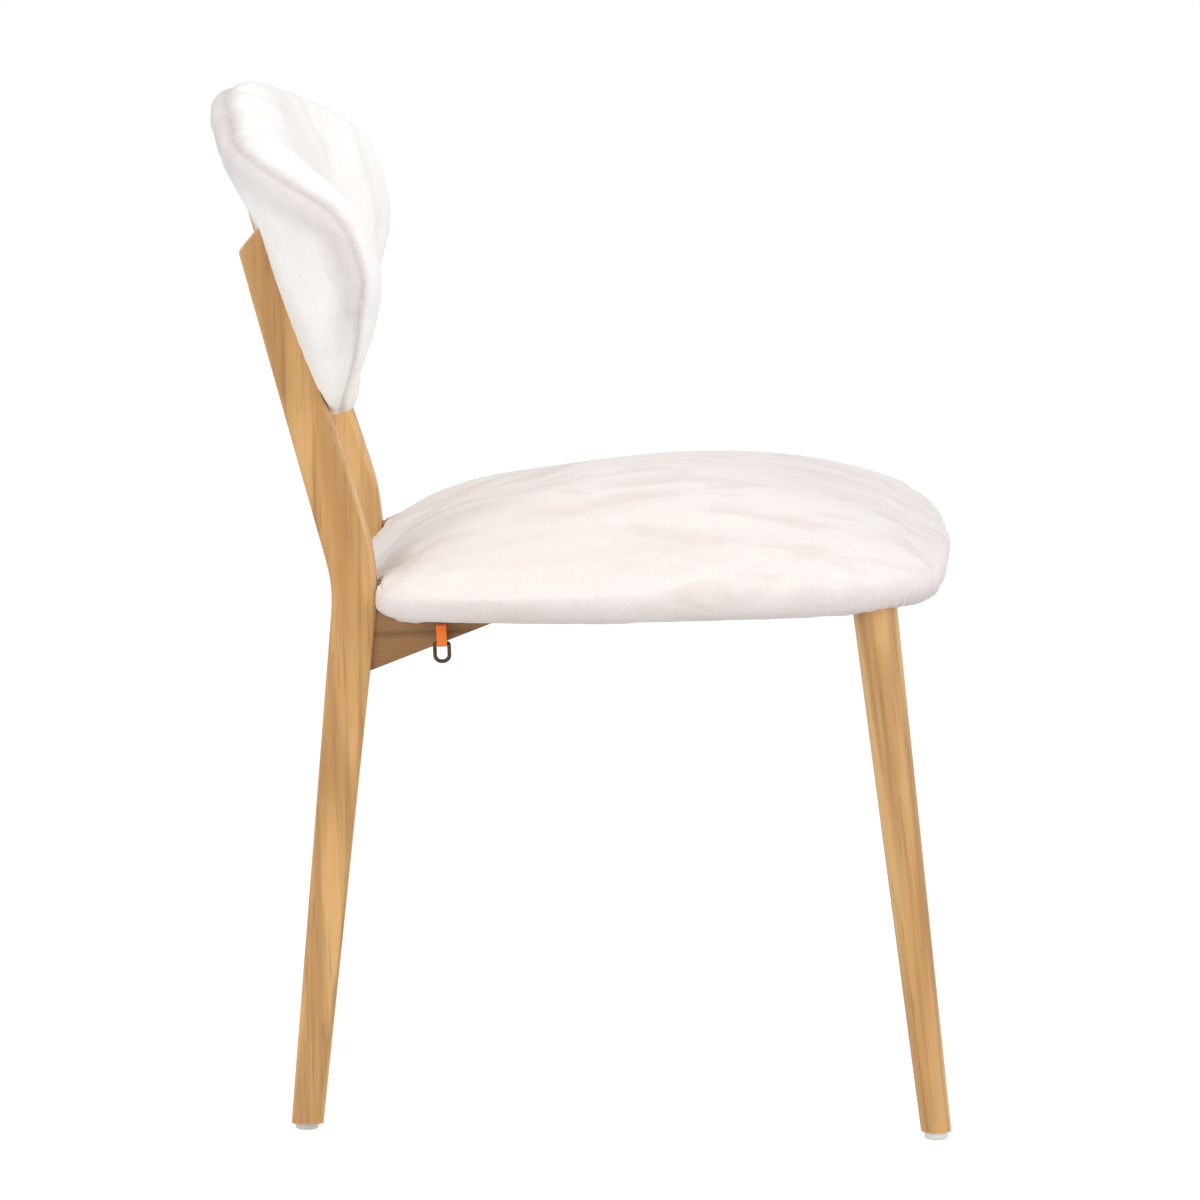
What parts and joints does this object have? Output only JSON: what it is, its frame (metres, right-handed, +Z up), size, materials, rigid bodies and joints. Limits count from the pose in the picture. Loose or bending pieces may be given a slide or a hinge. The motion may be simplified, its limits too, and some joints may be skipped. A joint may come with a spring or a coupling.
{
  "type": "upholstered dining chair",
  "caption": "Upholstered dining chair with a curved wrap-round backrest, a domed cushion seat, a raked oak frame and a small ring that swings in a strap under the seat.",
  "frame": {"origin": "On the floor, under the middle of the chair's outline.", "axes": "+X is the sitter's left, +Y runs to the back of the chair and +Z is up."},
  "size_m": [0.4556, 0.5567, 0.7868],
  "materials": {
    "oak": "oiled oak, satin",
    "inner_wood": "raw softwood",
    "dowel_wood": "raw beech",
    "zinc_steel": "zinc plated",
    "brass": "plain",
    "glide_plastic": "off-white nylon",
    "plywood": "raw plywood",
    "foam": "open-cell foam and wadding",
    "plush": "short-pile cream plush",
    "dust_cloth": "black non-woven cloth",
    "webbing": "woven orange webbing",
    "bronze": "dark bronze"
  },
  "bodies": {
    "chair": {"rear_leg_left": "oak", "rear_leg_right": "oak", "front_leg_left": "oak", "front_leg_right": "oak", "side_rail_left": "oak", "side_rail_right": "oak", "front_rail": "inner_wood", "rear_rail": "inner_wood", "corner_block_front_left": "inner_wood", "corner_block_front_right": "inner_wood", "corner_block_rear_left": "inner_wood", "corner_block_rear_right": "inner_wood", "frame_dowels": "dowel_wood", "corner_block_screws": "zinc_steel", "seat_board_screws": "zinc_steel", "glide_nails": "zinc_steel", "backrest_bolts": "zinc_steel", "backrest_insert_nuts": "brass", "glide_front_left": "glide_plastic", "glide_front_right": "glide_plastic", "glide_rear_left": "glide_plastic", "glide_rear_right": "glide_plastic", "seat_board": "plywood", "backrest_shell": "plywood", "seat_foam": "foam", "backrest_foam": "foam", "backrest_wadding": "foam", "seat_cover": "plush", "backrest_front_cover": "plush", "backrest_rear_cover": "plush", "seat_dust_cover": "dust_cloth", "hang_strap": "webbing"},
    "ring": {"hang_ring": "bronze"}
  },
  "joints": [
    {"name": "ring_swing", "type": "hinge", "parent": "chair", "child": "ring", "pos_m": [-0.165, 0.11354, 0.38044], "axis": [0, 0.9993, -0.0366], "range_deg": [-45, 110]}
  ]
}
